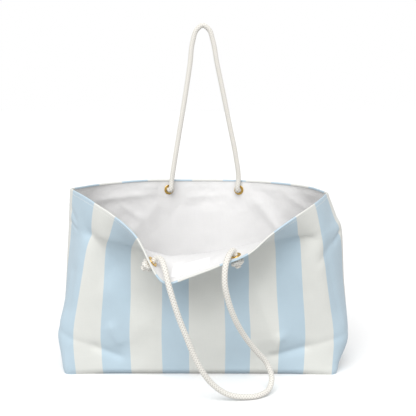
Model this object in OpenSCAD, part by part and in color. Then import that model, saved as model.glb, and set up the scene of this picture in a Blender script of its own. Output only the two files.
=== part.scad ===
// Open-top weekender bag: two striped canvas panels with boxed lower corners, a white
// lining, four brass eyelets and two knotted rope handles. The back panel stands up.
// The upper part of the front panel has slumped forward into a flap.
// Frame: X along the bag, Y from front to back, Z up. The origin is the middle of the base.

/* [Bag] */
// Width of one flat panel, side seam to side seam
panel_w = 610; // [590:5:630]
// Height of the walls, base edge to rim, measured along the cloth
wall_h = 330; // [310:5:350]
// Depth of the base, front to back
base_d = 140; // [120:5:160]
// Radius of the base corners
corner_r = 14; // [8:1:30]
// How far the walls swell out above the base
belly_out = 14; // [5:1:20]

/* [Cloth] */
// Thickness of the striped outer canvas with its stiffener
canvas_t = 1.2; // [0.8:0.1:1.6]
// Thickness of the white lining
lining_t = 0.8; // [0.5:0.1:1.2]
// Columns of facets across each panel
cols = 40; // [24:4:48]

/* [Label] */
// Width of the plain sewn label
label_w = 58; // [40:1:70]
// Height of the label
label_h = 28; // [18:1:32]
// Thickness of the label
label_t = 0.6; // [0.4:0.1:1]

/* [Eyelets] */
// Distance between the two eyelets of one handle
eyelet_gap = 140; // [130:1:150]
// Distance from the rim down to the eyelet centres
eyelet_drop = 18; // [16:1:22]
// Bore of an eyelet
eyelet_bore = 9.6; // [9.4:0.1:11]
// Outer diameter of the eyelet flange and of its washer
flange_d = 18; // [16:0.5:20]

/* [Rope handles] */
// Diameter of the braided cotton rope
rope_d = 9; // [8:0.5:9]
// Diameter of a rope end knot
knot_d = 20; // [18:1:24]

/* [Hidden] */

half_w = panel_w / 2;
base_w = panel_w - base_d;
bore_facets = 64;

// Scale of the shaped curves below, which are drawn for a 610 x 330 x 140 bag
kx = panel_w / 610;
ky = base_d / 140;
kz = wall_h / 330;

// Stations across a panel, left seam to right seam
STATIONS = [for (s = [-305, -210, -120, -35, 0, 45, 85, 130, 220, 305]) s * kx];
// Rim of the slumped front panel, one point for each station
FRONT_RIM = [[-212, -68, 319], [-162, -146, 304], [-95, -190, 260], [-45, -214, 192],
             [-12, -214, 203], [35, -209, 219], [76, -206, 234], [112, -198, 265],
             [178, -150, 302], [212, -70, 313]];
// Line along which the front panel folds forward
FOLD_LINE = [[-222, -56, 240], [-180, -124, 232], [-112, -122, 222], [-34, -106, 209],
             [-1, -107, 212], [41, -112, 219], [78, -121, 226], [118, -130, 232],
             [196, -132, 236], [240, -58, 250]];
// Rim of the upright back panel
BACK_RIM = [[-212, -68, 319], [-178, 16, 318], [-100, 60, 321], [-33, 93, 318],
            [-1, 104, 317], [43, 110, 316], [84, 98, 316], [127, 73, 316],
            [189, 8, 315], [212, -70, 313]];
// Heights along the cloth of the curves that shape a wall: base edge, belly, upper
// wall, fold, flap and rim
LEVELS = [for (s = [0, 85, 160, 225, 290, 330]) s * kz];
// Shares of the way from the belly to the rim, at three of those heights of the back panel
BACK_SHARES = [0.31, 0.57, 0.84];
// The wall swells out most at this height, where its corners are this round
belly_z = 80 * kz;
belly_corner_r = 45;
// Beyond this distance from the middle, and over this run, a wall turns into an end
end_from = 200 * kx;
end_run = 105 * kx;
// How far the left and the right end swell, and how far the walls close in there
end_swell = [5, 24];
end_pinch = 12;
// The front panel slumps most round this place, over this half width
slump_mid = -5;
slump_w = 120 * kx;
// How the slump moves the upper wall and lifts the lip of the flap
upper_share = 0.42;
upper_sag = [0, 8, -8];
lip_share = 0.45;
lip_gain = 0.17;
lip_lift = [0, 0, 9];
// Rows of facets: rings across the base, then up the wall. The base drawn in to this
// share of its length at its middle seam
base_rings = 3;
base_taper = 0.6;
wall_rows = [for (s = [0, 20, 50, 85, 120, 155, 185, 205, 225, 245, 265, 280, 290, 300, 315, 330]) s * kz];

// Route of the front handle: out of the left eyelet, over the rim, down to a loose loop
// on the ground and back up
FRONT_ROUTE = [[-63, -190.5, 226.5], [-55, -202, 227], [-49, -216, 216], [-43, -225, 194],
               [-35, -226, 166], [-27, -223, 140], [-17, -218, 112], [-7, -212, 84],
               [6, -205, 55], [23, -197, 30], [46, -190, 12], [74, -184, 5.2],
               [96, -176, 5.2], [111, -163, 9.7], [117, -149, 24], [110, -146, 45],
               [91, -160, 72], [71, -182, 104], [56, -203, 136], [45, -218, 170],
               [40, -224, 198], [42, -219, 225], [48, -205, 237], [54, -193, 239]];
// Route of the back handle: up from one eyelet, over its top and down to the other
BACK_ROUTE = [[-55.5, 73.5, 301.5], [-53, 73.5, 320], [-41, 77, 395], [-29, 80, 467],
              [-19, 82, 532], [-14, 83, 571], [-7, 83.5, 591], [4, 84, 599],
              [15, 85, 592], [22, 85.5, 573], [29, 86, 536], [41, 88, 479],
              [53, 90, 421], [65, 91, 362], [70, 91.5, 322], [68.5, 92.5, 299]];
// Rings on a handle between two points of its route, and sides of its tube
route_steps = 2;
tube_sides = 10;

// Where the eyelets of each handle sit across their panel: [middle, panel side]
FRONT = -1;
BACK = 1;
front_handle_mid = -5;
back_handle_mid = 3;
eyelet_level = wall_h - eyelet_drop;

// ---- Curves -------------------------------------------------------------------

function scaled(p) = [p[0] * kx, p[1] * ky, p[2] * kz];

// Place of t in the rising list knots
function span(knots, t, i = 0) =
    (i >= len(knots) - 2 || t < knots[i + 1]) ? i : span(knots, t, i + 1);

// Slope of a smooth curve through the points at one of them
function slope(p, knots, i) =
    i == 0 ? (p[1] - p[0]) / (knots[1] - knots[0]) :
    i == len(p) - 1 ? (p[i] - p[i - 1]) / (knots[i] - knots[i - 1]) :
    let (before = knots[i] - knots[i - 1], after = knots[i + 1] - knots[i])
    ((p[i] - p[i - 1]) / before * after + (p[i + 1] - p[i]) / after * before) / (before + after);

// Smooth curve through the points p at the values knots
function curve(p, knots, t) =
    let (i = span(knots, t), h = knots[i + 1] - knots[i], s = (t - knots[i]) / h)
    (2 * pow(s, 3) - 3 * s * s + 1) * p[i] + (pow(s, 3) - 2 * s * s + s) * h * slope(p, knots, i)
    + (3 * s * s - 2 * pow(s, 3)) * p[i + 1] + (pow(s, 3) - s * s) * h * slope(p, knots, i + 1);

function smooth(t) = let (s = min(1, max(0, t))) s * s * (3 - 2 * s);

// ---- Shape of the bag ---------------------------------------------------------

// Outline of half the base, with corner radius r, at u along the panel
function outline(u, side, r) =
    let (flat = base_w / 2 - r, bend = PI * r / 2, end = u < 0 ? -1 : 1,
         run = max(0, abs(u) - flat) * (bend + base_d / 2 - r) / (half_w - flat))
    run == 0 ? [u, side * base_d / 2, 0] :
    run < bend ? let (a = run / r * 180 / PI)
        [end * (flat + r * sin(a)), side * (base_d / 2 - r + r * cos(a)), 0] :
    [end * base_w / 2, side * (base_d / 2 - r - (run - bend)), 0];

// The wall where it swells out most
function belly(u, side) =
    let (end = smooth((abs(u) - end_from) / end_run), out = u < 0 ? end_swell[0] : end_swell[1])
    outline(u, side, belly_corner_r)
    + [sign(u) * end * out, side * (1 - end) * belly_out - end_pinch * end, belly_z];

// The curve up one column of the wall, as the six points at LEVELS
function column(u, side) =
    let (b = outline(u, side, corner_r), q = belly(u, side),
         rim = curve([for (p = side == FRONT ? FRONT_RIM : BACK_RIM) scaled(p)], STATIONS, u))
    side == BACK ? [b, q, for (share = BACK_SHARES) q + (rim - q) * share, rim] :
    let (fold = curve([for (p = FOLD_LINE) scaled(p)], STATIONS, u),
         slump = exp(-pow((u - slump_mid) / slump_w, 4)), lip = lip_share + lip_gain * slump)
    [b, q, q * upper_share + fold * (1 - upper_share) + upper_sag * slump, fold,
     fold * (1 - lip) + rim * lip + lip_lift * slump, rim];

// Point of the outer face at u across the panel and w up the wall
function cloth(u, w, side) = curve(column(u, side), LEVELS, w);

// Unit vector square to the cloth, pointing into the bag
function inward(u, w, side) =
    let (c = side * cross(cloth(u + 1, w, side) - cloth(u - 1, w, side),
                          cloth(u, w + 1, side) - cloth(u, w - 1, side)))
    c / norm(c);

// All columns round the bag: the front panel, then the back panel from right to left
ring_cols = 2 * cols;
function col_u(c) = c <= cols ? -half_w + panel_w * c / cols : half_w - panel_w * (c - cols) / cols;
function col_side(c) = c <= cols ? FRONT : BACK;
WALL = [for (w = wall_rows) [for (c = [0:ring_cols - 1])
    curve(column(col_u(c), col_side(c)), LEVELS, w)]];
function wall(r, c) = WALL[r][(c + ring_cols) % ring_cols];
last_row = len(wall_rows) - 1;

// Inward vector that keeps the cloth's thickness at a facet corner
function wall_inward(r, c) =
    let (across = wall(r, c + 1) - wall(r, c - 1),
         up = wall(min(r + 1, last_row), c) - wall(max(r - 1, 0), c),
         n = r == 0 ? cross([0, 0, 1], across) : -cross(across, up))
    n / norm(n) + (r == 0 ? [0, 0, 1] : [0, 0, 0]);

// One layer of the shell, a distance t in from the outer face: the rings of the base
// from its middle seam outwards, then the rows of the wall
function layer(t, c0) = concat(
    [for (k = [base_rings:-1:1]) [for (c = [c0:c0 + cols]) let (e = wall(0, c), f = k / base_rings)
        [e[0] * (1 - (1 - base_taper) * f), e[1] * (1 - f), t]]],
    [for (r = [0:last_row]) [for (c = [c0:c0 + cols]) wall(r, c) + t * wall_inward(r, c)]]);

// Closed shell between two layers of equal size
module shell(outer, inner) {
    rows = len(outer);
    n = len(outer[0]);
    total = rows * n;
    points = [for (part = [outer, inner], row = part, p = row) p];
    outside = [for (r = [0:rows - 2], c = [0:n - 2]) let (a = r * n + c)
        each [[a, a + n, a + 1], [a + 1, a + n, a + n + 1]]];
    inside = [for (f = outside) [f[0] + total, f[2] + total, f[1] + total]];
    left = [for (r = [0:rows - 2]) let (a = r * n)
        each [[a, a + total, a + n], [a + n, a + total, a + n + total]]];
    right = [for (r = [0:rows - 2]) let (a = r * n + n - 1)
        each [[a, a + n, a + total], [a + n, a + n + total, a + total]]];
    bottom = [for (c = [0:n - 2]) each [[c, c + 1, c + total], [c + 1, c + 1 + total, c + total]]];
    top = [for (c = [0:n - 2]) let (a = (rows - 1) * n + c)
        each [[a, a + total, a + 1], [a + 1, a + total, a + 1 + total]]];
    polyhedron(points, concat(outside, inside, left, right, bottom, top));
}

// ---- Places of the eyelets ----------------------------------------------------

function eyelet_u(mid, end) = mid + end * eyelet_gap / 2;

// Puts its children on the inner face of the cloth, with +Z pointing into the bag
module at_eyelet(mid, end, side) {
    u = eyelet_u(mid, end);
    up = cloth(u, eyelet_level + 1, side) - cloth(u, eyelet_level - 1, side);
    z = inward(u, eyelet_level, side);
    x = cross(up, z) / norm(cross(up, z));
    y = cross(z, x);
    o = cloth(u, eyelet_level, side) + z * (canvas_t + lining_t);
    multmatrix([[x[0], y[0], z[0], o[0]], [x[1], y[1], z[1], o[1]], [x[2], y[2], z[2], o[2]]])
        children();
}

cloth_t = canvas_t + lining_t;
barrel_wall = 0.6;
flange_t = 1.4;
washer_t = 0.8;
// The barrel's end, rolled over the washer
rolled_t = 0.6;
rolled_w = 1;
// From the outer side of the rolled end to the inner face of the cloth
set_t = cloth_t + washer_t + rolled_t;
cloth_hole = eyelet_bore + 2 * barrel_wall;
// How far a cutter stands clear of what it cuts
clear_cut = 3;
lip_facets = 32;

module cloth_holes(mid, side) {
    for (end = [-1, 1])
        at_eyelet(mid, end, side)
            translate([0, 0, -cloth_t - clear_cut])
                cylinder(h = cloth_t + 2 * clear_cut, d = cloth_hole, $fn = bore_facets);
}

// ---- Cloth pieces -------------------------------------------------------------

module outer_front() {
    color("lightsteelblue") difference() {
        shell(layer(0, 0), layer(canvas_t, 0));
        cloth_holes(front_handle_mid, FRONT);
    }
}

module outer_back() {
    color("lightsteelblue") difference() {
        shell(layer(0, cols), layer(canvas_t, cols));
        cloth_holes(back_handle_mid, BACK);
    }
}

module lining_front() {
    color("white") difference() {
        shell(layer(canvas_t, 0), layer(cloth_t, 0));
        cloth_holes(front_handle_mid, FRONT);
    }
}

module lining_back() {
    color("white") difference() {
        shell(layer(canvas_t, cols), layer(cloth_t, cols));
        cloth_holes(back_handle_mid, BACK);
    }
}

// A plain label sewn flat on the lining of the front flap
label_left = -32 * kx;
label_bottom = 288 * kz;
module label() {
    steps = 6;
    function face(t) = [for (r = [0:steps]) [for (c = [0:steps])
        let (u = label_left + label_w * c / steps, w = label_bottom + label_h * r / steps)
        cloth(u, w, FRONT) + inward(u, w, FRONT) * t]];
    color("white") shell(face(cloth_t), face(cloth_t + label_t));
}

// ---- Eyelets ------------------------------------------------------------------

// Flange with a rounded lip on the inner face, a barrel through the cloth, and the
// rolled end that grips the washer
module eyelet(mid, end, side) {
    color("gold") at_eyelet(mid, end, side) rotate_extrude($fn = bore_facets) {
        translate([eyelet_bore / 2, -set_t]) square([barrel_wall, set_t + flange_t / 2]);
        translate([eyelet_bore / 2 + flange_t / 2, flange_t / 2])
            circle(d = flange_t, $fn = lip_facets);
        translate([eyelet_bore / 2 + flange_t / 2, 0])
            square([flange_d / 2 - eyelet_bore / 2 - flange_t, flange_t]);
        translate([flange_d / 2 - flange_t / 2, flange_t / 2])
            circle(d = flange_t, $fn = lip_facets);
        translate([eyelet_bore / 2, -set_t]) square([barrel_wall + rolled_w, rolled_t]);
    }
}

// Flat ring on the outer face, gripped by the rolled end of the barrel
module washer(mid, end, side) {
    color("goldenrod") at_eyelet(mid, end, side)
        translate([0, 0, -cloth_t - washer_t]) difference() {
            cylinder(h = washer_t, d = flange_d, $fn = bore_facets);
            translate([0, 0, -clear_cut])
                cylinder(h = washer_t + 2 * clear_cut, d = cloth_hole, $fn = bore_facets);
        }
}

// ---- Rope ---------------------------------------------------------------------

// The rope through the eyelet, its stopper knot on the outer face and its short end
knot_gap = 0.4;
tail_length = 7;
module knot(mid, end, side) {
    wrap_r = knot_d / 4;
    core = flange_t + set_t + 2 * wrap_r + tail_length;
    color("antiquewhite") at_eyelet(mid, end, side) {
        translate([0, 0, flange_t - core]) cylinder(h = core, d = rope_d, $fn = bore_facets);
        translate([0, 0, -set_t - wrap_r - knot_gap]) rotate_extrude($fn = bore_facets) {
            translate([0, -wrap_r]) square([knot_d / 2 - wrap_r, 2 * wrap_r]);
            translate([knot_d / 2 - wrap_r, 0]) circle(r = wrap_r, $fn = lip_facets);
        }
    }
}

function route_point(route, t) = curve(route, [for (i = [0:len(route) - 1]) i], t);

// Unit vectors square to the path at each ring, carried along so that the tube does not twist
function carried(tangents, i = 0, side = undef) =
    let (t = tangents[i], s = is_undef(side) ? cross(t, [0.3, 1, 0.2]) : side,
         flat = s - t * (s * t), unit = flat / norm(flat))
    i == len(tangents) - 1 ? [unit] : concat([unit], carried(tangents, i + 1, unit));

// Round tube along a route, closed at both ends
module rope(route) {
    n = (len(route) - 1) * route_steps;
    path = [for (i = [0:n]) route_point(route, i / route_steps)];
    tangents = [for (i = [0:n]) let (d = path[min(i + 1, n)] - path[max(i - 1, 0)]) d / norm(d)];
    sides = carried(tangents);
    points = [for (i = [0:n], k = [0:tube_sides - 1])
        let (a = 360 * k / tube_sides)
        path[i] + (sides[i] * cos(a) + cross(tangents[i], sides[i]) * sin(a)) * rope_d / 2];
    walls = [for (i = [0:n - 1], k = [0:tube_sides - 1])
        let (a = i * tube_sides + k, b = i * tube_sides + (k + 1) % tube_sides)
        each [[a, a + tube_sides, b], [b, a + tube_sides, b + tube_sides]]];
    start = [for (k = [1:tube_sides - 2]) [0, k, k + 1]];
    finish = [for (k = [1:tube_sides - 2]) let (a = n * tube_sides) [a, a + k + 1, a + k]];
    color("ivory") polyhedron(points, concat(walls, start, finish));
}

// ---- Nodes --------------------------------------------------------------------

outer_front();
outer_back();
lining_front();
lining_back();
label();
eyelet(front_handle_mid, -1, FRONT);  // eyelet_front_left
eyelet(front_handle_mid, 1, FRONT);  // eyelet_front_right
eyelet(back_handle_mid, -1, BACK);  // eyelet_back_left
eyelet(back_handle_mid, 1, BACK);  // eyelet_back_right
washer(front_handle_mid, -1, FRONT);  // washer_front_left
washer(front_handle_mid, 1, FRONT);  // washer_front_right
washer(back_handle_mid, -1, BACK);  // washer_back_left
washer(back_handle_mid, 1, BACK);  // washer_back_right
knot(front_handle_mid, -1, FRONT);  // knot_front_left
knot(front_handle_mid, 1, FRONT);  // knot_front_right
knot(back_handle_mid, -1, BACK);  // knot_back_left
knot(back_handle_mid, 1, BACK);  // knot_back_right
rope(FRONT_ROUTE);  // rope_front
rope(BACK_ROUTE);  // rope_back
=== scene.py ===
from math import cos, pi, radians, sin

import bpy
import numpy as np
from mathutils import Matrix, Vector, noise


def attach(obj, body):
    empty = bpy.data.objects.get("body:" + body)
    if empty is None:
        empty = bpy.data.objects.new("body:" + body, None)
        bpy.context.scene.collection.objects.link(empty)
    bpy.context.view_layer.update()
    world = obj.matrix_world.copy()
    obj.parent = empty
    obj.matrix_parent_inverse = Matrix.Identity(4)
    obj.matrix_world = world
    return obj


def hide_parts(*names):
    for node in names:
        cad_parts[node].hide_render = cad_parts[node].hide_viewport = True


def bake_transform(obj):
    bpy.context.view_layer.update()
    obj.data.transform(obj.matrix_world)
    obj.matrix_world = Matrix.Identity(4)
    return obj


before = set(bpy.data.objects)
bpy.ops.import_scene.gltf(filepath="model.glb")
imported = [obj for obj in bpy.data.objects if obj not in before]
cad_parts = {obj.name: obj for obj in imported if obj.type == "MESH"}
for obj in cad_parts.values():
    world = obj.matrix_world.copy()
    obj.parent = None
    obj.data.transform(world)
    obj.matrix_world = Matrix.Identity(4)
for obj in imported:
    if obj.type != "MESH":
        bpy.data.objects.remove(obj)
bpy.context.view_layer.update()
bpy.ops.object.select_all(action="DESELECT")


# ---- Canvas panels ----------------------------------------------------------------
# Two equal panels of stiffened cotton canvas, printed with pale blue and cream stripes.
# They are sewn together at the sides and under the base, and their lower corners are
# boxed. The back panel stands up, and the front one has slumped forward into a flap.

panel_width = 0.610
wall_height = 0.330
base_depth = 0.140
corner_radius = 0.014
canvas_thickness = 0.0012
lining_thickness = 0.0008
FRONT = -1
BACK = 1

# Curves of the slumped cloth, one point at each of these places across the panel
stations = [-0.305, -0.210, -0.120, -0.035, 0, 0.045, 0.085, 0.130, 0.220, 0.305]
front_rim = [(-0.215, -0.068, 0.319), (-0.162, -0.146, 0.304), (-0.095, -0.190, 0.260),
             (-0.045, -0.214, 0.192), (-0.012, -0.214, 0.203), (0.035, -0.209, 0.219),
             (0.076, -0.206, 0.234), (0.112, -0.198, 0.265), (0.178, -0.150, 0.302),
             (0.214, -0.070, 0.313)]
front_fold = [(-0.222, -0.056, 0.240), (-0.180, -0.124, 0.232), (-0.112, -0.122, 0.222),
              (-0.034, -0.106, 0.209), (-0.001, -0.107, 0.212), (0.041, -0.112, 0.219),
              (0.078, -0.121, 0.226), (0.118, -0.130, 0.232), (0.196, -0.132, 0.236),
              (0.240, -0.058, 0.250)]
back_rim = [(-0.215, -0.068, 0.319), (-0.178, 0.016, 0.318), (-0.100, 0.060, 0.321),
            (-0.033, 0.093, 0.318), (-0.001, 0.104, 0.317), (0.043, 0.110, 0.316),
            (0.084, 0.098, 0.316), (0.127, 0.073, 0.316), (0.189, 0.008, 0.315),
            (0.214, -0.070, 0.313)]
# Heights up the cloth of the curves that shape a wall: base edge, belly, upper wall,
# fold, lip of the flap and rim
levels = [0, 0.085, 0.160, 0.225, 0.290, 0.330]


def smooth_curve(points, knots, at):
    """Points of the smooth curve through the given ones, at one or more values of its knots."""
    points = np.asarray(points, float)
    knots = np.asarray(knots, float)
    at = np.atleast_1d(at)
    gaps = np.diff(knots)
    chords = np.diff(points, axis=0) / gaps[:, None]
    slopes = np.empty_like(points)
    slopes[0] = chords[0]
    slopes[-1] = chords[-1]
    before = gaps[:-1, None]
    after = gaps[1:, None]
    slopes[1:-1] = (chords[:-1] * after + chords[1:] * before) / (before + after)
    i = np.clip(np.searchsorted(knots, at, side="right") - 1, 0, len(knots) - 2)
    gap = gaps[i][:, None]
    s = (at[:, None] - knots[i][:, None]) / gap
    return ((2 * s ** 3 - 3 * s ** 2 + 1) * points[i] + (s ** 3 - 2 * s ** 2 + s) * gap * slopes[i]
            + (3 * s ** 2 - 2 * s ** 3) * points[i + 1] + (s ** 3 - s ** 2) * gap * slopes[i + 1])


def base_outline(u, side, radius):
    """A point of half the outline of the base with rounded corners, at u across the panel."""
    base_width = panel_width - base_depth
    flat = base_width / 2 - radius
    bend = pi * radius / 2
    end = -1 if u < 0 else 1
    run = max(0, abs(u) - flat) * (bend + base_depth / 2 - radius) / (panel_width / 2 - flat)
    if run == 0:
        return np.array([u, side * base_depth / 2, 0])
    if run < bend:
        turn = run / radius
        return np.array([end * (flat + radius * sin(turn)),
                         side * (base_depth / 2 - radius + radius * cos(turn)), 0])
    return np.array([end * base_width / 2, side * (base_depth / 2 - radius - (run - bend)), 0])


# The ends of the bag: where the wall starts to turn into its end, how far that turn runs, and
# how far the belly swells out and is pinched in there. At the right end the belly hangs lower
# and the base reaches further out.
end_from = 0.200
end_run = 0.105
left_swell = 0.005
right_swell = 0.024
end_pinch = 0.012
belly_radius = 0.030
belly_height = 0.080
belly_out = 0.014
right_belly_drop = 0.014
right_base_stretch = 0.007
# Where the back panel starts to meet the front one, beside the side seams
join_from = 0.285
join_run = 0.020
# The slump of the front panel, and the shape that it gives the upper wall and the lip
slump_middle = -0.005
slump_width = 0.120
upper_sag = 0.008
lip_share = 0.45
lip_gain = 0.17
lip_lift = 0.009


def wall_curve(u, side):
    """The six points that shape the wall at u across the panel, from the base edge to the rim."""
    share = min(1, max(0, (abs(u) - end_from) / end_run))
    end = share * share * (3 - 2 * share)
    swell = left_swell if u < 0 else right_swell
    foot = base_outline(u, side, corner_radius)
    foot[0] += right_base_stretch * end * (u > 0)
    belly = base_outline(u, side, belly_radius)
    belly += [np.sign(u) * end * swell, side * (1 - end) * belly_out - end_pinch * end,
              belly_height - right_belly_drop * end * (u > 0)]
    if side == BACK:
        rim = smooth_curve(back_rim, stations, u)[0]
        upright = [foot, belly] + [belly + (rim - belly) * up for up in (0.31, 0.57, 0.84)] + [rim]
        # The back panel joins the front one along the side seams
        joined = max(0, (abs(u) - join_from) / join_run) ** 2
        if joined == 0:
            return upright
        seam = wall_curve(np.sign(u) * panel_width / 2, FRONT)
        return [a * (1 - joined) + b * joined for a, b in zip(upright, seam)]
    rim = smooth_curve(front_rim, stations, u)[0]
    fold = smooth_curve(front_fold, stations, u)[0]
    slump = np.exp(-((u - slump_middle) / slump_width) ** 4)
    lip = lip_share + lip_gain * slump
    upper = belly * 0.42 + fold * 0.58 + np.array([0, upper_sag, -upper_sag]) * slump
    flap = fold * (1 - lip) + rim * lip + np.array([0, 0, lip_lift]) * slump
    return [foot, belly, upper, fold, flap, rim]


def cloth_grid(side, across, up):
    """Points of the outer face of a panel, one row for each height up the cloth."""
    return np.stack([smooth_curve(wall_curve(u, side), levels, up) for u in across], axis=1)


def inward_grid(points, side):
    """Unit vectors square to a grid of points on a panel, pointing into the bag."""
    inward = side * np.cross(np.gradient(points, axis=1), np.gradient(points, axis=0))
    return inward / np.linalg.norm(inward, axis=2, keepdims=True)


# Where the eyelets sit on the cloth
handle_middle = {FRONT: -0.005, BACK: 0.003}
eyelet_gap = 0.140
eyelet_height = 0.312
# Radius of the opening in the cloth under an eyelet
eyelet_opening = 0.0062


def eyelet_place(side, end):
    """Centre of an eyelet on the outer face, and the direction of its axis into the bag."""
    u = handle_middle[side] + end * eyelet_gap / 2
    patch = cloth_grid(side, [u - 0.001, u, u + 0.001],
                       np.array([eyelet_height - 0.001, eyelet_height, eyelet_height + 0.001]))
    return patch[1, 1], inward_grid(patch, side)[1, 1]


columns = np.linspace(-panel_width / 2, panel_width / 2, 240)
rows = np.linspace(0, wall_height, 131)
flat_u, flat_w = np.meshgrid(columns, rows)


def crease(start, end, depth, width):
    """Depths over the flat cloth of one soft crease, which runs out at its ends."""
    run = np.subtract(end, start)
    length = np.hypot(*run)
    along = ((flat_u - start[0]) * run[0] + (flat_w - start[1]) * run[1]) / length ** 2
    off = ((flat_w - start[1]) * run[0] - (flat_u - start[0]) * run[1]) / length
    fade = np.exp(-(np.maximum(0, np.abs(2 * along - 1) - 0.55) / 0.4) ** 2)
    return depth * fade * np.exp(-np.abs(off / width) ** 1.6)


def ripple(size, depth, seed):
    """Smooth uneven depths over the flat cloth, with swells of about the given size."""
    found = [noise.noise(Vector((u / size, w / size, seed)))
             for u, w in zip(flat_u.ravel(), flat_w.ravel())]
    return depth * np.array(found).reshape(flat_u.shape)


def flat_near_eyelets(depths, side):
    """Keeps the cloth flat under the eyelets."""
    for end in (-1, 1):
        u = handle_middle[side] + end * eyelet_gap / 2
        away = np.hypot(flat_u - u, flat_w - eyelet_height)
        depths = depths * (1 - np.exp(-(away / 0.018) ** 4))
    return depths


# How far the stiff canvas is pressed in from its smooth shape: the hollows under the
# slumped rim, the soft corner creases above the boxed base and the pinched side folds
canvas_folds = {
    FRONT: crease((-0.235, 0.290), (-0.120, 0.170), 0.0075, 0.026)
    + crease((0.215, 0.275), (0.070, 0.165), 0.0095, 0.034)
    + crease((-0.170, 0.165), (-0.075, 0.090), -0.0050, 0.030)
    + crease((0.095, 0.165), (0.130, 0.060), -0.0070, 0.026)
    + crease((0.235, 0.230), (0.245, 0.090), 0.0045, 0.020)
    + crease((-0.245, 0.190), (-0.235, 0.100), 0.0040, 0.020)
    + crease((-0.276, 0.094), (-0.178, 0.060), 0.0014, 0.007)
    + crease((-0.185, 0.062), (-0.128, 0.034), 0.0040, 0.009)
    + crease((-0.150, 0.105), (-0.130, 0.060), -0.0035, 0.010)
    + crease((0.276, 0.092), (0.186, 0.058), 0.0013, 0.007)
    + crease((0.190, 0.062), (0.112, 0.036), 0.0044, 0.009)
    + crease((0.138, 0.090), (0.122, 0.045), -0.0035, 0.008)
    + crease((0.300, 0.226), (0.258, 0.215), 0.0036, 0.006)
    + crease((0.262, 0.222), (0.205, 0.190), 0.0022, 0.010)
    + crease((-0.298, 0.305), (-0.262, 0.285), 0.0015, 0.006)
    + crease((-0.300, 0.280), (-0.262, 0.262), 0.0016, 0.008)
    + crease((-0.128, 0.262), (-0.100, 0.222), 0.0030, 0.008)
    + crease((0.020, 0.140), (0.035, 0.060), 0.0020, 0.024)
    + ripple(0.070, 0.0022, 1.7) + ripple(0.022, 0.0004, 6.1),
    BACK: crease((-0.275, 0.090), (-0.160, 0.050), 0.0036, 0.009)
    + crease((0.275, 0.090), (0.150, 0.045), 0.0040, 0.010)
    + crease((-0.120, 0.300), (-0.090, 0.180), 0.0025, 0.016)
    + crease((0.180, 0.310), (0.120, 0.200), 0.0030, 0.018)
    + crease((-0.060, 0.130), (0.090, 0.085), 0.0030, 0.024)
    + ripple(0.080, 0.0024, 12.3) + ripple(0.022, 0.0004, 3.9)}
# On both panels: short puckers beside the side seams, the soft roll of the base edge, the
# fullness of the belly and of its corners, and a pinch right at the side seams
seam_distance = panel_width / 2 - np.abs(flat_u)
corner_puckers = np.sin(flat_w * 2 * pi / 0.011) * np.exp(-(seam_distance / 0.007) ** 2)
middle_share = np.clip((0.230 - np.abs(flat_u)) / 0.080, 0, 1)
base_roll = np.clip(1 - flat_w / 0.013, 0, 1) ** 2 * (0.25 + 0.75 * middle_share)
corner_swell = np.exp(-((np.abs(flat_u) - 0.262) / 0.030) ** 2 - ((flat_w - 0.070) / 0.038) ** 2)
for side in (FRONT, BACK):
    canvas_folds[side] += 0.0004 * corner_puckers
    canvas_folds[side] -= 0.006 * np.exp(-((flat_w - 0.090) / 0.045) ** 2) * middle_share
    canvas_folds[side] -= 0.004 * corner_swell
    canvas_folds[side] *= np.clip(flat_w / 0.020, 0, 1) * np.clip(seam_distance / 0.012, 0, 1)
    canvas_folds[side] = flat_near_eyelets(canvas_folds[side], side)
    canvas_folds[side] += 0.008 * base_roll + 0.0012 * np.exp(-seam_distance / 0.0035)

walls = {side: cloth_grid(side, columns, rows) for side in (FRONT, BACK)}
wall_inward = {side: inward_grid(walls[side], side) for side in (FRONT, BACK)}
# At a side seam both panels are set in the same way, so that they stay joined
seam_share = (np.clip(1 - seam_distance / 0.020, 0, 1) ** 2)[:, :, None]
shared = {}
for column in (0, -1):
    both = wall_inward[FRONT][:, column] + wall_inward[BACK][:, column]
    shared[column] = both / np.linalg.norm(both, axis=1, keepdims=True)
at_seam = np.where(flat_u[:, :, None] < 0, shared[0][:, None], shared[-1][:, None])
for side in (FRONT, BACK):
    turned = wall_inward[side] * (1 - seam_share) + at_seam * seam_share
    wall_inward[side] = turned / np.linalg.norm(turned, axis=2, keepdims=True)


def panel_rows(side, inset, depths):
    """Rows of a panel some way in from the outer face: half the base, then the wall."""
    wall = walls[side] + wall_inward[side] * (inset + depths)[:, :, None]
    wall[0, :, 2] = inset
    foot = wall[0]
    base = [np.stack([foot[:, 0] * (1 - 0.4 * share), foot[:, 1] * (1 - share), foot[:, 2]], axis=1)
            for share in np.arange(12, 0, -1) / 12]
    return np.array(base), wall


def rolled_hem(wall, side, reach):
    """Rows that carry the cloth over the rim and a little way down the inner face."""
    inward = wall_inward[side][-1]
    up = wall[-1] - wall[-2]
    up /= np.linalg.norm(up, axis=1, keepdims=True)
    radius = (2 * canvas_thickness + lining_thickness) / 2
    turned = [wall[-1] + inward * radius * (1 - cos(turn)) + up * radius * sin(turn)
              for turn in np.radians([30, 60, 90, 120, 150, 180])]
    return np.array(turned + [turned[-1] - up * reach / 2, turned[-1] - up * reach])


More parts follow.
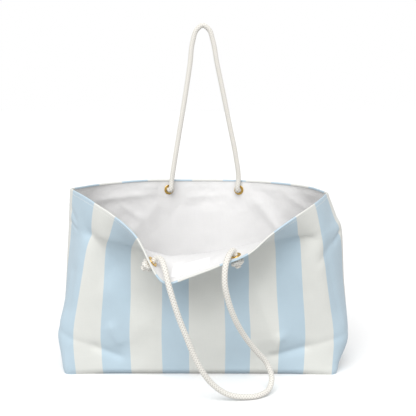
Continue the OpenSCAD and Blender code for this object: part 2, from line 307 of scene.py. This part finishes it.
def make_sheet(name, points, across, up, side, thickness):
    """A sheet of cloth from a grid of points on its outer face, open at the eyelets. The places
    across and up the flat cloth, in metres, become its UV map."""
    height, width = points.shape[:2]
    centres = [eyelet_place(side, end)[0] for end in (-1, 1)]
    faces = []
    places = []
    for r in range(height - 1):
        for c in range(width - 1):
            middle = (points[r, c] + points[r + 1, c + 1]) / 2
            if min(np.linalg.norm(middle - centre) for centre in centres) < eyelet_opening:
                continue
            ring = [(r, c), (r, c + 1), (r + 1, c + 1), (r + 1, c)]
            if side == BACK:
                ring.reverse()
            faces.append([row * width + column for row, column in ring])
            places += [(across[row, column], up[row]) for row, column in ring]
    mesh = bpy.data.meshes.new(name)
    mesh.from_pydata(points.reshape(-1, 3).tolist(), [], faces)
    uv = mesh.uv_layers.new(name="Cloth")
    uv.data.foreach_set("uv", np.array(places, np.float32).ravel())
    sheet = bpy.data.objects.new(name, mesh)
    bpy.context.scene.collection.objects.link(sheet)
    sheet.select_set(True)
    bpy.context.view_layer.objects.active = sheet
    bpy.ops.object.mode_set(mode="EDIT")
    bpy.ops.mesh.select_all(action="SELECT")
    bpy.ops.mesh.delete_loose(use_verts=True, use_edges=True, use_faces=False)
    bpy.ops.object.mode_set(mode="OBJECT")
    solid = sheet.modifiers.new("Thickness", "SOLIDIFY")
    solid.thickness = thickness
    solid.offset = -1
    bpy.ops.object.modifier_apply(modifier="Thickness")
    bpy.ops.object.shade_smooth_by_angle(angle=radians(50))
    sheet.select_set(False)
    return sheet


def panel_sheet(name, side, inset, depths, hem_reach, thickness):
    """A whole panel: half the base, the wall and, where it has one, its rolled hem."""
    base, wall = panel_rows(side, inset, depths)
    points = np.concatenate([base, wall])
    up = np.concatenate([np.linspace(-base_depth / 2, 0, len(base), endpoint=False), rows])
    if hem_reach:
        hem = rolled_hem(wall, side, hem_reach)
        points = np.concatenate([points, hem])
        up = np.concatenate([up, wall_height + 0.001 * np.arange(1, len(hem) + 1)])
    across = np.tile(columns, (len(points), 1))
    across[:len(base)] = base[:, :, 0]
    return make_sheet(name, points, across, up, side, thickness)


def new_material(name):
    """A new material, with its nodes, its links and its Principled shader."""
    made = bpy.data.materials.new(name)
    made.use_nodes = True
    tree = made.node_tree
    return made, tree, tree.nodes["Principled BSDF"]


def put(tree, socket, value):
    """Links a socket to an input, or sets a plain value on it."""
    if isinstance(value, bpy.types.NodeSocket):
        tree.links.new(value, socket)
    else:
        socket.default_value = value


def maths(tree, operation, first, second=0.0):
    """Output of a Math node on two sockets or numbers."""
    node = tree.nodes.new("ShaderNodeMath")
    node.operation = operation
    put(tree, node.inputs[0], first)
    put(tree, node.inputs[1], second)
    return node.outputs[0]


def blend_colours(tree, share, first, second):
    """Output of a Mix node between two colours."""
    node = tree.nodes.new("ShaderNodeMix")
    node.data_type = "RGBA"
    put(tree, node.inputs["Factor"], share)
    put(tree, node.inputs["A"], first)
    put(tree, node.inputs["B"], second)
    return node.outputs["Result"]


def ramp(tree, value, low, high, to_low=0.0, to_high=1.0):
    """Output of a smooth Map Range node."""
    node = tree.nodes.new("ShaderNodeMapRange")
    node.interpolation_type = "SMOOTHSTEP"
    put(tree, node.inputs["Value"], value)
    node.inputs["From Min"].default_value = low
    node.inputs["From Max"].default_value = high
    node.inputs["To Min"].default_value = to_low
    node.inputs["To Max"].default_value = to_high
    return node.outputs["Result"]


def stretched_noise(tree, place, across, along, detail=2.0):
    """Output of a Noise node with its own scale in each direction of the cloth."""
    scale = tree.nodes.new("ShaderNodeMapping")
    scale.inputs["Scale"].default_value = (across, along, 1)
    tree.links.new(place, scale.inputs["Vector"])
    grain = tree.nodes.new("ShaderNodeTexNoise")
    grain.inputs["Scale"].default_value = 1
    grain.inputs["Detail"].default_value = detail
    tree.links.new(scale.outputs["Vector"], grain.inputs["Vector"])
    return grain.outputs["Fac"]


def raised(tree, height, strength, distance):
    """Normal from a height."""
    bump = tree.nodes.new("ShaderNodeBump")
    bump.inputs["Strength"].default_value = strength
    bump.inputs["Distance"].default_value = distance
    tree.links.new(height, bump.inputs["Height"])
    return bump.outputs["Normal"]


# Plain weave: threads over and under each other, thicker here and there
weave = bpy.data.node_groups.new("plain_weave", "ShaderNodeTree")
weave.interface.new_socket("Place", in_out="INPUT", socket_type="NodeSocketVector")
weave.interface.new_socket("Thread", in_out="INPUT", socket_type="NodeSocketFloat")
weave.interface.new_socket("Height", in_out="OUTPUT", socket_type="NodeSocketFloat")
weave.interface.new_socket("Slub", in_out="OUTPUT", socket_type="NodeSocketFloat")
weave_in = weave.nodes.new("NodeGroupInput")
weave_out = weave.nodes.new("NodeGroupOutput")
axes = weave.nodes.new("ShaderNodeSeparateXYZ")
weave.links.new(weave_in.outputs["Place"], axes.inputs[0])
waves = []
for axis in ("X", "Y"):
    turns = maths(weave, "DIVIDE", axes.outputs[axis], weave_in.outputs["Thread"])
    waves.append(maths(weave, "SINE", maths(weave, "MULTIPLY", turns, pi)))
crossing = maths(weave, "MULTIPLY", waves[0], waves[1])
warp = stretched_noise(weave, weave_in.outputs["Place"], 1100, 45)
weft = stretched_noise(weave, weave_in.outputs["Place"], 45, 1100)
slub = maths(weave, "ADD", maths(weave, "MULTIPLY", warp, 0.5), maths(weave, "MULTIPLY", weft, 0.5))
height = maths(weave, "ADD", maths(weave, "MULTIPLY", crossing, 0.5), slub)
weave.links.new(height, weave_out.inputs["Height"])
weave.links.new(slub, weave_out.inputs["Slub"])


def woven(tree, thread):
    """Places the weave on a material that reads the cloth's own UV map."""
    places = tree.nodes.new("ShaderNodeUVMap")
    places.uv_map = "Cloth"
    group = tree.nodes.new("ShaderNodeGroup")
    group.node_tree = weave
    tree.links.new(places.outputs["UV"], group.inputs["Place"])
    group.inputs["Thread"].default_value = thread
    return places.outputs["UV"], group.outputs["Height"], group.outputs["Slub"]


# The print: a blue stripe wherever the place across the cloth lies in one of these
blue_stripes = [(-0.291, -0.2115), (-0.165, -0.1165), (-0.063, -0.0175), (0.0435, 0.0855),
                (0.1335, 0.177), (0.2255, 0.292)]
striped_canvas, tree, shader = new_material("striped_canvas")
place, thread_height, slub = woven(tree, 0.0008)
across = tree.nodes.new("ShaderNodeSeparateXYZ")
tree.links.new(place, across.inputs[0])
ink_edge = maths(tree, "MULTIPLY", maths(tree, "SUBTRACT", slub, 0.5), 0.0012)
printed_u = maths(tree, "ADD", across.outputs["X"], ink_edge)
in_blue = 0.0
for left, right in blue_stripes:
    off_middle = maths(tree, "ABSOLUTE", maths(tree, "SUBTRACT", printed_u, (left + right) / 2))
    half = (right - left) / 2
    in_blue = maths(tree, "ADD", in_blue, ramp(tree, off_middle, half + 0.0004, half - 0.0004))
washed_blue = (0.455, 0.574, 0.655, 1)
fresh_blue = (0.475, 0.594, 0.675, 1)
washed_cream = (0.675, 0.680, 0.645, 1)
fresh_cream = (0.700, 0.705, 0.668, 1)
fading = stretched_noise(tree, place, 9, 9, 3)
blue = blend_colours(tree, ramp(tree, fading, 0.3, 0.7), washed_blue, fresh_blue)
cream = blend_colours(tree, ramp(tree, fading, 0.3, 0.7), washed_cream, fresh_cream)
printed = blend_colours(tree, in_blue, cream, blue)
threads = blend_colours(tree, ramp(tree, slub, 0.3, 0.7, 0.07, 0.0), printed, (0.45, 0.48, 0.50, 1))
tree.links.new(threads, shader.inputs["Base Color"])
tree.links.new(ramp(tree, slub, 0.3, 0.7, 0.78, 0.66), shader.inputs["Roughness"])
tree.links.new(raised(tree, thread_height, 0.35, 0.0003), shader.inputs["Normal"])
shader.inputs["Specular IOR Level"].default_value = 0.35
shader.inputs["Sheen Weight"].default_value = 0.15
shader.inputs["Sheen Roughness"].default_value = 0.5

# How far the canvas runs down inside the rim
hem_turn_in = 0.0012
for side, name, node, held in ((FRONT, "canvas_front", "outer_front", "folded"),
                               (BACK, "canvas_back", "outer_back", "hung")):
    panel = panel_sheet(name, side, 0, canvas_folds[side], hem_turn_in, canvas_thickness)
    panel.data.materials.append(striped_canvas)
    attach(panel, "bag")
    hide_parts(node)


# ---- Lining -----------------------------------------------------------------------
# A plain off-white cotton lining of the same cut as the canvas. It is caught under the
# canvas at the rim, and it is a little too large, so it puckers below the hem.

below_hem = np.exp(-((wall_height - 0.012 - flat_w) / 0.060) ** 2)
lining_folds = {
    FRONT: crease((-0.020, 0.300), (-0.030, 0.225), 0.0025, 0.010)
    + crease((0.100, 0.310), (0.085, 0.230), 0.0020, 0.009),
    BACK: crease((-0.250, 0.300), (-0.090, 0.304), 0.0035, 0.008)
    + crease((-0.170, 0.290), (-0.120, 0.255), 0.0030, 0.007)
    + crease((-0.030, 0.296), (0.050, 0.302), 0.0025, 0.007)
    + crease((0.020, 0.290), (0.030, 0.170), 0.0040, 0.022)
    + crease((0.095, 0.300), (0.175, 0.215), 0.0045, 0.012)
    + crease((0.160, 0.312), (0.250, 0.270), 0.0030, 0.009)
    + crease((-0.080, 0.290), (-0.190, 0.190), 0.0035, 0.014)}

lining_cotton, tree, shader = new_material("lining_cotton")
place, thread_height, slub = woven(tree, 0.0005)
cotton = blend_colours(tree, ramp(tree, slub, 0.3, 0.7, 0.10, 0.0), (0.765, 0.760, 0.758, 1),
                       (0.58, 0.57, 0.565, 1))
tree.links.new(cotton, shader.inputs["Base Color"])
tree.links.new(raised(tree, thread_height, 0.30, 0.0002), shader.inputs["Normal"])
tree.links.new(ramp(tree, slub, 0.3, 0.7, 0.85, 0.72), shader.inputs["Roughness"])
shader.inputs["Specular IOR Level"].default_value = 0.3
shader.inputs["Sheen Weight"].default_value = 0.2

lining_depths = {}
for side, name, node in ((FRONT, "lining_sheet_front", "lining_front"),
                         (BACK, "lining_sheet_back", "lining_back")):
    loose = 0.6 * lining_folds[side] + np.abs(ripple(0.036, 0.0016, 21.4 + side)) * (0.3 + below_hem)
    loose = loose + 0.0006 * np.abs(ripple(0.012, 1.0, 8.2)) * below_hem
    loose *= np.clip((wall_height - 0.004 - flat_w) / 0.010, 0, 1) * np.clip(flat_w / 0.030, 0, 1)
    loose *= np.clip(seam_distance / 0.010, 0, 1)
    if side == FRONT:
        off_label = np.maximum(np.abs(flat_u + 0.003) - 0.030, np.abs(flat_w - 0.302) - 0.014)
        loose *= np.clip(off_label / 0.008, 0, 1)
    lining_depths[side] = canvas_folds[side] + flat_near_eyelets(loose, side)
    sheet = panel_sheet(name, side, canvas_thickness, lining_depths[side], 0, lining_thickness)
    sheet.data.materials.append(lining_cotton)
    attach(sheet, "bag")
    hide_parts(node)


# ---- Topstitching -----------------------------------------------------------------
# One row of lock stitches below the rolled hem, seen on both faces of each panel. Each
# stitch is a short length of white cotton thread that sinks into the cloth at its ends.

stitch_length = 0.0026
stitch_pitch = 0.0036
thread_radius = 0.00028
bpy.ops.mesh.primitive_cylinder_add(vertices=6, radius=thread_radius, depth=stitch_length * 0.6,
                                    end_fill_type="NGON", rotation=(0, pi / 2, 0))
stitch = bpy.context.object
bpy.ops.object.transform_apply(location=False, rotation=True, scale=False)
for way in (-1, 1):
    bpy.ops.object.mode_set(mode="EDIT")
    bpy.ops.mesh.select_mode(type="FACE")
    bpy.ops.mesh.select_all(action="DESELECT")
    bpy.ops.object.mode_set(mode="OBJECT")
    for face in stitch.data.polygons:
        face.select = face.normal.x * way > 0.9
    bpy.ops.object.mode_set(mode="EDIT")
    bpy.ops.mesh.extrude_region_move(
        TRANSFORM_OT_translate={"value": (way * stitch_length * 0.2, 0, -thread_radius)})
    bpy.ops.transform.resize(value=(1, 0.5, 0.5), center_override=(
        way * stitch_length * 0.5, 0, -thread_radius))
    bpy.ops.object.mode_set(mode="OBJECT")
stitch_points = np.array([v.co for v in stitch.data.vertices])
stitch_faces = [list(face.vertices) for face in stitch.data.polygons]
bpy.data.objects.remove(stitch)

cotton_thread, tree, shader = new_material("cotton_thread")
object_place = tree.nodes.new("ShaderNodeTexCoord")
twist = stretched_noise(tree, object_place.outputs["Object"], 2500, 2500)
tree.links.new(blend_colours(tree, twist, (0.70, 0.70, 0.68, 1), (0.88, 0.88, 0.86, 1)),
               shader.inputs["Base Color"])
shader.inputs["Roughness"].default_value = 0.7


def run_stitches(name, line, inward, faces_of_cloth):
    """Stitches at an even pitch along a line of points, on each named face of the cloth:
    1 for the inner face or -1 for the outer one, and how far in from the line it lies."""
    along = np.concatenate([[0], np.cumsum(np.linalg.norm(np.diff(line, axis=0), axis=1))])
    points = []
    faces = []
    for at in np.arange(stitch_pitch, along[-1] - stitch_pitch, stitch_pitch):
        centre = np.array([np.interp(at, along, line[:, k]) for k in range(3)])
        ahead = np.array([np.interp(at + 0.001, along, line[:, k]) for k in range(3)]) - centre
        ahead /= np.linalg.norm(ahead)
        normal = inward[int(np.searchsorted(along, at))]
        for way, depth in faces_of_cloth:
            directions = np.stack([ahead, np.cross(normal * way, ahead), normal * way])
            faces += [[corner + len(points) for corner in face] for face in stitch_faces]
            points += list(stitch_points @ directions + centre + normal * depth)
    mesh = bpy.data.meshes.new(name)
    mesh.from_pydata([tuple(p) for p in points], [], faces)
    mesh.polygons.foreach_set("use_smooth", [True] * len(mesh.polygons))
    stitches = bpy.data.objects.new(name, mesh)
    bpy.context.scene.collection.objects.link(stitches)
    stitches.data.materials.append(cotton_thread)
    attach(stitches, "bag")


stitches_below_rim = 0.006
stitch_row = int(np.searchsorted(rows, wall_height - stitches_below_rim))
for side, name in ((FRONT, "topstitch_front"), (BACK, "topstitch_back")):
    outer_face = panel_rows(side, 0, canvas_folds[side])[1]
    inner_face = panel_rows(side, canvas_thickness + lining_thickness, lining_depths[side])[1]
    inward = inward_grid(outer_face, side)[stitch_row]
    run_stitches(name + "_outside", outer_face[stitch_row], inward, [(-1, 0)])
    run_stitches(name + "_inside", inner_face[stitch_row], inward, [(1, 0)])


# ---- Label ------------------------------------------------------------------------
# A small plain white woven label, sewn flat on the lining of the front flap by a row of
# short stitches along its border.

label_thickness = 0.0006
label_gap = 0.0001
label_bottom = 0.288
label_top = 0.316
label_left = -0.032
label_right = 0.026
label_rows = slice(int(np.searchsorted(rows, label_bottom)),
                   int(np.searchsorted(rows, label_top)) + 1)
label_columns = slice(int(np.searchsorted(columns, label_left)),
                      int(np.searchsorted(columns, label_right)) + 1)
lining_face = panel_rows(FRONT, canvas_thickness + lining_thickness + label_gap,
                         lining_depths[FRONT])[1]
patch = lining_face[label_rows, label_columns]
label_tape = make_sheet("sewn_label", patch, flat_u[label_rows, label_columns],
                        rows[label_rows], FRONT, label_thickness)
white_tape, tree, shader = new_material("white_tape")
place, thread_height, slub = woven(tree, 0.0003)
tree.links.new(blend_colours(tree, ramp(tree, slub, 0.3, 0.7, 0.08, 0.0), (0.90, 0.90, 0.91, 1),
                             (0.70, 0.70, 0.72, 1)), shader.inputs["Base Color"])
tree.links.new(raised(tree, thread_height, 0.25, 0.0001), shader.inputs["Normal"])
shader.inputs["Roughness"].default_value = 0.45
label_tape.data.materials.append(white_tape)
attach(label_tape, "bag")
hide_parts("label")

border = np.concatenate([patch[1, 1:-1], patch[1:-1, -2], patch[-2, -2:0:-1], patch[-2:0:-1, 1]])
label_inward = inward_grid(patch, FRONT)
border_inward = np.concatenate([label_inward[1, 1:-1], label_inward[1:-1, -2],
                                label_inward[-2, -2:0:-1], label_inward[-2:0:-1, 1]])
run_stitches("label_stitches", border, border_inward, [(1, label_thickness)])


# ---- Eyelets ----------------------------------------------------------------------
# Four polished brass eyelets. Each is pressed through both layers of cloth and rolled
# over a flat washer on the outer side.

polished_brass, tree, shader = new_material("polished_brass")
metal_place = tree.nodes.new("ShaderNodeTexCoord").outputs["Object"]
wear = stretched_noise(tree, metal_place, 900, 900, 4)
scratches = stretched_noise(tree, metal_place, 3500, 250, 2)
tree.links.new(blend_colours(tree, ramp(tree, wear, 0.35, 0.75), (0.80, 0.54, 0.16, 1),
                             (0.60, 0.37, 0.09, 1)), shader.inputs["Base Color"])
tree.links.new(ramp(tree, wear, 0.3, 0.8, 0.14, 0.30), shader.inputs["Roughness"])
tree.links.new(raised(tree, scratches, 0.12, 0.00005), shader.inputs["Normal"])
shader.inputs["Metallic"].default_value = 1
for node in ("eyelet_front_left", "eyelet_front_right", "eyelet_back_left", "eyelet_back_right",
             "washer_front_left", "washer_front_right", "washer_back_left", "washer_back_right"):
    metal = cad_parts[node]
    metal.data.materials.clear()
    metal.data.materials.append(polished_brass)


# ---- Rope handles -----------------------------------------------------------------
# Two handles of soft braided cotton rope, about nine millimetres thick. Each end goes out
# through an eyelet and is held on the outer side by a knot, which is a closed loop here.

braid_core = 0.0041
strand_lift = 0.00060
ring_spacing = 0.00062
rope_sides = 64
strands = 4
strand_pitch = 0.0046
routes = {
    FRONT: [(-0.063, -0.1905, 0.2265), (-0.055, -0.202, 0.227), (-0.049, -0.216, 0.216),
            (-0.043, -0.225, 0.194), (-0.035, -0.226, 0.166), (-0.027, -0.223, 0.140),
            (-0.017, -0.218, 0.112), (-0.007, -0.212, 0.084), (0.006, -0.205, 0.055),
            (0.023, -0.197, 0.030), (0.046, -0.190, 0.0120), (0.074, -0.184, 0.0055),
            (0.096, -0.176, 0.0055), (0.111, -0.163, 0.0097), (0.117, -0.149, 0.024),
            (0.110, -0.146, 0.045), (0.091, -0.160, 0.072), (0.071, -0.182, 0.104),
            (0.056, -0.203, 0.136), (0.045, -0.218, 0.170), (0.040, -0.224, 0.198),
            (0.042, -0.219, 0.225), (0.048, -0.205, 0.237), (0.054, -0.193, 0.239)],
    BACK: [(-0.0555, 0.0735, 0.3015), (-0.053, 0.0735, 0.320), (-0.041, 0.077, 0.395),
           (-0.029, 0.080, 0.467), (-0.019, 0.082, 0.532), (-0.014, 0.083, 0.571),
           (-0.007, 0.0835, 0.591), (0.004, 0.084, 0.599), (0.015, 0.085, 0.592),
           (0.022, 0.0855, 0.573), (0.029, 0.086, 0.536), (0.041, 0.088, 0.479),
           (0.053, 0.090, 0.421), (0.065, 0.091, 0.362), (0.070, 0.0915, 0.322),
           (0.0685, 0.0925, 0.299)]}


def even_path(points, spacing):
    """Points at an even spacing along the smooth curve through the given ones."""
    points = np.asarray(points)
    knots = np.concatenate([[0], np.cumsum(np.linalg.norm(np.diff(points, axis=0), axis=1))])
    fine = smooth_curve(points, knots, np.linspace(0, knots[-1], 4000))
    run = np.concatenate([[0], np.cumsum(np.linalg.norm(np.diff(fine, axis=0), axis=1))])
    places = np.linspace(0, run[-1], int(run[-1] / spacing) + 1)
    return np.stack([np.interp(places, run, fine[:, k]) for k in range(3)], axis=1), places


def braid_height(along, turn, lift):
    """Height of a braid of round strands that run both ways round a rope."""
    first = strands * turn / (2 * pi) + along / strand_pitch
    second = -strands * turn / (2 * pi) + along / strand_pitch
    heights = []
    for own, other, way in ((first, second, 1), (second, first, -1)):
        in_strand = 2 * (own - np.floor(own)) - 1
        over = way * np.sin(pi * other) * np.cos(pi * np.floor(own))
        heights.append(lift * over + 1.1 * lift * (np.sqrt(1 - 0.95 * in_strand ** 2) - 1))
    return np.maximum(*heights)


def rope_mesh(name, path, along, radii, lift, sides):
    """A braided tube along a path, closed at both ends. Its place along and round becomes its
    UV map, and how deep each point lies between the strands becomes an attribute for painted shade
    there."""
    tangents = np.gradient(path, axis=0)
    tangents /= np.linalg.norm(tangents, axis=1, keepdims=True)
    across = np.cross(tangents[0], (0.3, 1, 0.2))
    points = []
    depths = []
    turns = np.arange(sides) * 2 * pi / sides
    for centre, tangent, place, radius in zip(path, tangents, along, radii):
        across = across - tangent * np.dot(across, tangent)
        across /= np.linalg.norm(across)
        height = braid_height(place, turns, lift)
        # How deep each point lies between the strands, kept for the painted shade in the rope material
        depths += list((lift - height) / (2 * lift))
        level = radius + height
        points += list(centre + level[:, None] * (np.cos(turns)[:, None] * across
                       + np.sin(turns)[:, None] * np.cross(tangent, across)))
    count = len(path)
    faces = []
    places = []
    for i in range(count - 1):
        for k in range(sides):
            following = (k + 1) % sides
            faces.append([i * sides + k, i * sides + following,
                          (i + 1) * sides + following, (i + 1) * sides + k])
            places += [(along[i], k / sides), (along[i], (k + 1) / sides),
                       (along[i + 1], (k + 1) / sides), (along[i + 1], k / sides)]
    for ring, centre, reverse in ((0, path[0], True), (count - 1, path[-1], False)):
        for k in range(sides):
            corners = [ring * sides + k, ring * sides + (k + 1) % sides, len(points)]
            faces.append(corners[::-1] if reverse else corners)
            places += [(along[ring], k / sides)] * 3
        points.append(centre)
        depths.append(0.5)
    mesh = bpy.data.meshes.new(name)
    mesh.from_pydata([tuple(p) for p in points], [], faces)
    mesh.polygons.foreach_set("use_smooth", [True] * len(mesh.polygons))
    painted_shade_depth = mesh.attributes.new("Painted shade between strands", "FLOAT", "POINT")
    painted_shade_depth.data.foreach_set("value", np.array(depths, np.float32))
    uv = mesh.uv_layers.new(name="Cloth")
    uv.data.foreach_set("uv", np.array(places, np.float32).ravel())
    rope = bpy.data.objects.new(name, mesh)
    bpy.context.scene.collection.objects.link(rope)
    return rope


cotton_rope, tree, shader = new_material("cotton_rope")
strand_uv = tree.nodes.new("ShaderNodeUVMap")
strand_uv.uv_map = "Cloth"
fibres = stretched_noise(tree, strand_uv.outputs["UV"], 1800, 60, 3)
tufts = stretched_noise(tree, strand_uv.outputs["UV"], 160, 9, 2)
fibre_colour = blend_colours(tree, ramp(tree, fibres, 0.3, 0.7), (0.65, 0.63, 0.585, 1),
                             (0.80, 0.785, 0.74, 1))
tuft_colour = blend_colours(tree, ramp(tree, tufts, 0.35, 0.75, 0.0, 0.3), fibre_colour,
                            (0.80, 0.77, 0.70, 1))
# Painted shade: the rope's colour darkens to a deep brown where its surface lies down between the
# strands
painted_shade_depth = tree.nodes.new("ShaderNodeAttribute")
painted_shade_depth.attribute_name = "Painted shade between strands"
tree.links.new(blend_colours(tree, ramp(tree, painted_shade_depth.outputs["Fac"], 0.26, 0.85, 0.0, 0.80),
                             tuft_colour, (0.26, 0.23, 0.20, 1)), shader.inputs["Base Color"])
tree.links.new(raised(tree, fibres, 0.4, 0.0002), shader.inputs["Normal"])
tree.links.new(ramp(tree, fibres, 0.3, 0.7, 0.9, 0.75), shader.inputs["Roughness"])
shader.inputs["Sheen Weight"].default_value = 0.25
shader.inputs["Specular IOR Level"].default_value = 0.25

rope_knots = {FRONT: [], BACK: []}
knot_loop = 0.0056
knot_wave = 0.0023
knot_strand = 0.0034
knot_lift = 0.00045
tail_lift = 0.00035
tail_radius = 0.0038
knot_sides = 40
washer_face = 0.0016
for side, place_name in ((FRONT, "front"), (BACK, "back")):
    for end, end_name in ((-1, "left"), (1, "right")):
        centre, into_bag = eyelet_place(side, end)
        along_rim = np.cross(into_bag, (0, 0, 1))
        along_rim /= np.linalg.norm(along_rim)
        up_cloth = np.cross(into_bag, along_rim)
        middle = centre - into_bag * (washer_face + knot_wave + knot_strand)
        turn = np.linspace(0, 4 * pi, 260)
        wave = knot_loop + knot_wave * np.cos(1.5 * turn)
        loop = (middle + (wave * np.cos(turn))[:, None] * along_rim
                + (wave * np.sin(turn))[:, None] * up_cloth
                + (knot_wave * np.sin(1.5 * turn))[:, None] * into_bag)
        run = np.concatenate([[0], np.cumsum(np.linalg.norm(np.diff(loop, axis=0), axis=1))])
        knot = rope_mesh(f"overhand_knot_{place_name}_{end_name}", loop, run,
                         np.full(len(loop), knot_strand), knot_lift, knot_sides)
        core = centre - into_bag * np.linspace(0.0010, 0.0180, 60)[:, None]
        share = np.linspace(0, 1, 60)
        frayed = tail_radius + 0.0008 * np.clip((share - 0.8) / 0.14, 0, 1) ** 2
        frayed -= 0.0024 * np.clip((share - 0.94) / 0.06, 0, 1) ** 2
        tail = rope_mesh("tail", core, 0.017 * share, frayed, tail_lift, knot_sides)
        bpy.ops.object.select_all(action="DESELECT")
        tail.select_set(True)
        knot.select_set(True)
        bpy.context.view_layer.objects.active = knot
        bpy.ops.object.join()
        knot.select_set(False)
        knot.data.materials.append(cotton_rope)
        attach(knot, "bag")
        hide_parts(f"knot_{place_name}_{end_name}")
        rope_knots[side].append(knot)

rope_settings = {
    FRONT: ("rope_handle_front", "rope_front", "front_handle", (0, -0.191, 0.220), (0, -0.211, 0.210)),
    BACK: ("rope_handle_back", "rope_back", "back_handle", (0, 0, 0.308), (0, 0, 0.335))}
for side, (name, node, body, bend_from, bend_to) in rope_settings.items():
    left, left_in = eyelet_place(side, -1)
    right, right_in = eyelet_place(side, 1)
    through = ([left - left_in * 0.006, left, left + left_in * 0.004] + routes[side]
               + [right + right_in * 0.004, right, right - right_in * 0.006])
    path, along = even_path(through, ring_spacing)
    rope = rope_mesh(name, path, along, np.full(len(path), braid_core), strand_lift, rope_sides)
    rope.data.materials.append(cotton_rope)
    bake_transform(rope)
    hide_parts(node)


# ---- Studio -----------------------------------------------------------------------
# A plain pale floor and white air around the bag, one wide soft light that comes down from
# the camera's side, and the camera itself.

bpy.ops.mesh.primitive_plane_add(size=80, location=(0, 0, 0))
floor = bpy.context.object
floor.name = "studio_floor"
studio_white, tree, shader = new_material("studio_white")
# A pale floor that sends only part of its light back up under the bag
floor_rays = tree.nodes.new("ShaderNodeLightPath")
tree.links.new(blend_colours(tree, floor_rays.outputs["Is Camera Ray"], (0.60, 0.60, 0.60, 1),
                             (0.96, 0.96, 0.96, 1)), shader.inputs["Base Color"])
shader.inputs["Roughness"].default_value = 0.9
floor.data.materials.append(studio_white)
floor.select_set(False)

# White behind the bag, and a dimmer white for the light that it gives
world = bpy.data.worlds.new("studio_air")
world.use_nodes = True
air = world.node_tree
air.nodes["Background"].inputs["Color"].default_value = (1, 1, 1, 1)
rays = air.nodes.new("ShaderNodeLightPath")
air.links.new(ramp(air, rays.outputs["Is Camera Ray"], 0, 1, 0.56, 1.0),
              air.nodes["Background"].inputs["Strength"])
bpy.context.scene.world = world
bpy.context.scene.view_settings.view_transform = "Standard"

sun_data = bpy.data.lights.new("soft_sun", "SUN")
sun_data.energy = 2.85
sun_data.angle = radians(50)
sun = bpy.data.objects.new("soft_sun", sun_data)
sun.rotation_euler = (radians(47), 0, radians(-8))
bpy.context.scene.collection.objects.link(sun)

camera_data = bpy.data.cameras.new("camera")
camera_data.lens = 67.5
camera_data.sensor_width = 36
camera_data.shift_y = 0.003
camera = bpy.data.objects.new("camera", camera_data)
camera.location = (0.022, -1.352, 0.460)
camera.rotation_euler = (radians(90 - 7.74), 0, radians(0.34))
bpy.context.scene.collection.objects.link(camera)
bpy.context.scene.camera = camera
